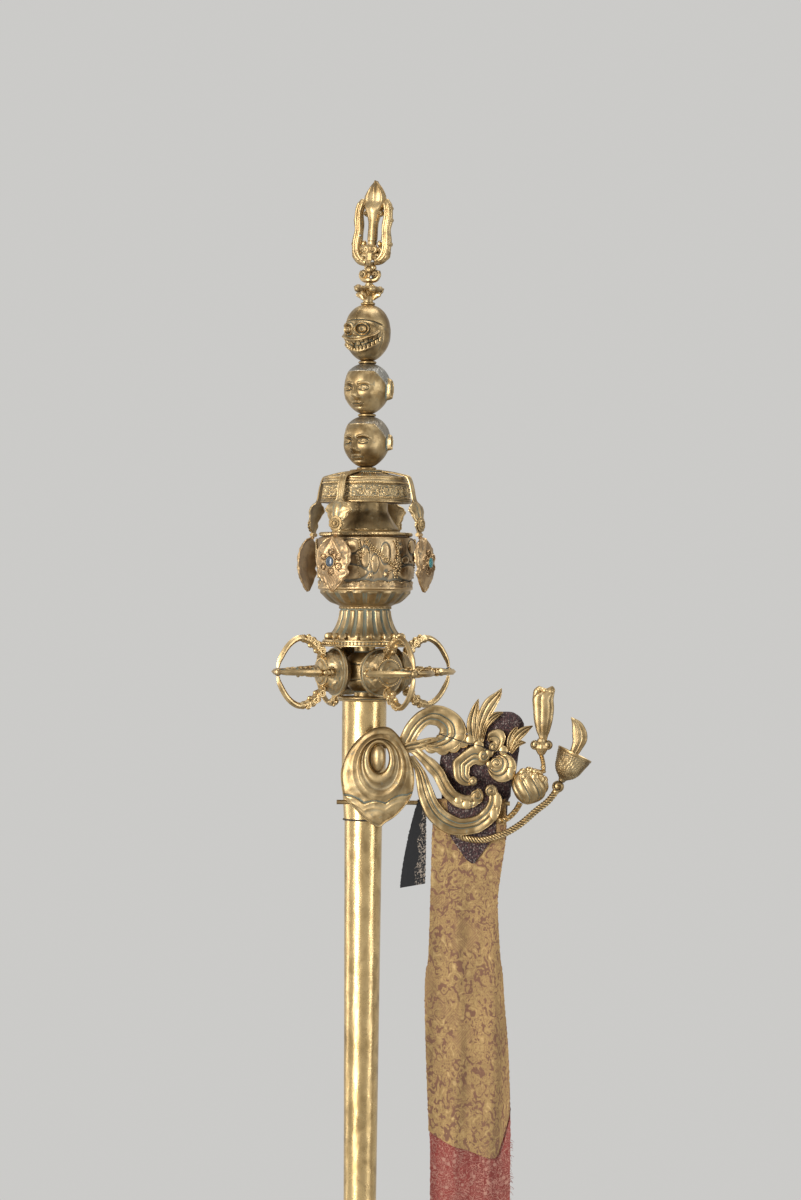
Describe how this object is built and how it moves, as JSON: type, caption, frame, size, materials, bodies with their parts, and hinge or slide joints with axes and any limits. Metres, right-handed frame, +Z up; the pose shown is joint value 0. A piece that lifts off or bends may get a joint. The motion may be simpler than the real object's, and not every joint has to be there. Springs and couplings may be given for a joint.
{
  "type": "khatvanga ritual staff",
  "caption": "Ritual staff of gilt copper with a trident, stacked heads, a vase with hanging leaf pendants, crossed thunderbolts and a scrolled side ornament that carries scarves.",
  "frame": {"origin": "centre of the foot ferrule's end face", "axes": "+Z up the staff, -Y towards the front that the picture shows, +X towards the side ornament and its scarves"},
  "size_m": [0.2855, 0.1648, 1.3018],
  "materials": {
    "gilt_copper": "worn fire gilding over hammered copper, satin to polished",
    "aged_gilt": "dull aged gilding with brown patina",
    "rose_copper": "thin gilding over pinkish copper, with green-grey patina in the recesses",
    "grey_solder": "dull grey solder",
    "core_wood": "plain turned wood",
    "dark_wire": "blackened wire",
    "blue_stone": "polished opaque stone",
    "turquoise_stone": "polished opaque stone",
    "gold_brocade": "woven gold brocade with plum figures",
    "rose_brocade": "rose-red brocade with a fine cream pattern",
    "plum_brocade": "dark plum brocade with gold thread",
    "navy_ribbon": "dark woven ribbon"
  },
  "bodies": {
    "staff": {"foot_ferrule": "aged_gilt", "staff_tube": "gilt_copper", "staff_core": "core_wood", "binding_wire": "aged_gilt", "socket_sleeve": "gilt_copper", "top_flange": "gilt_copper", "core_knob": "aged_gilt", "spindle": "grey_solder", "vajra_hubs": "gilt_copper", "vajra_prongs": "gilt_copper", "vase_base_plate": "gilt_copper", "vase_foot": "gilt_copper", "vase_bowl": "gilt_copper", "vase_belly": "rose_copper", "shoulder_ring": "gilt_copper", "vase_neck": "gilt_copper", "cap_floor": "aged_gilt", "cap_band": "gilt_copper", "cap_roof": "gilt_copper", "cap_straps": "gilt_copper", "leaf_rosettes": "gilt_copper", "hinge_pins": "aged_gilt", "head_collars": "grey_solder", "lower_head": "gilt_copper", "middle_head": "gilt_copper", "skull": "gilt_copper", "trident_stem": "gilt_copper", "trident_prongs": "gilt_copper", "trident_blade": "gilt_copper", "support_frame": "aged_gilt", "rivets_and_bolts": "aged_gilt", "medallion_shell": "gilt_copper", "medallion_bead": "gilt_copper", "scroll_upper": "gilt_copper", "tendril_outer": "gilt_copper", "tendril_inner": "gilt_copper", "scroll_centre": "gilt_copper", "scroll_small": "gilt_copper", "scroll_spiral": "gilt_copper", "flame_leaves": "gilt_copper", "cord_stems": "gilt_copper", "bud_ball": "gilt_copper", "tulip": "gilt_copper", "bell_cup": "gilt_copper", "bell_flame": "gilt_copper", "tie_wire": "dark_wire", "brocade_pad": "plum_brocade", "brocade_tab": "plum_brocade", "gold_scarf": "gold_brocade", "red_scarf": "rose_brocade", "dark_tie": "navy_ribbon"},
    "pendant_front": {"pendant_leaf_front": "rose_copper", "pendant_stones_front": "blue_stone"},
    "pendant_right": {"pendant_leaf_right": "rose_copper", "pendant_stones_right": "turquoise_stone"},
    "pendant_back": {"pendant_leaf_back": "rose_copper", "pendant_stones_back": "turquoise_stone"},
    "pendant_left": {"pendant_leaf_left": "rose_copper", "pendant_stones_left": "blue_stone"}
  },
  "joints": [
    {"name": "pendant_front_swing", "type": "hinge", "parent": "staff", "child": "pendant_front", "pos_m": [-0.02545, -0.04786, 0.983], "axis": [-0.8829, 0.4695, 0], "range_deg": [-16, 70]},
    {"name": "pendant_right_swing", "type": "hinge", "parent": "staff", "child": "pendant_right", "pos_m": [0.04786, -0.02545, 0.983], "axis": [-0.4695, -0.8829, 0], "range_deg": [-16, 70]},
    {"name": "pendant_back_swing", "type": "hinge", "parent": "staff", "child": "pendant_back", "pos_m": [0.02545, 0.04786, 0.983], "axis": [0.8829, -0.4695, 0], "range_deg": [-16, 70]},
    {"name": "pendant_left_swing", "type": "hinge", "parent": "staff", "child": "pendant_left", "pos_m": [-0.04786, 0.02545, 0.983], "axis": [0.4695, 0.8829, 0], "range_deg": [-16, 70]}
  ]
}
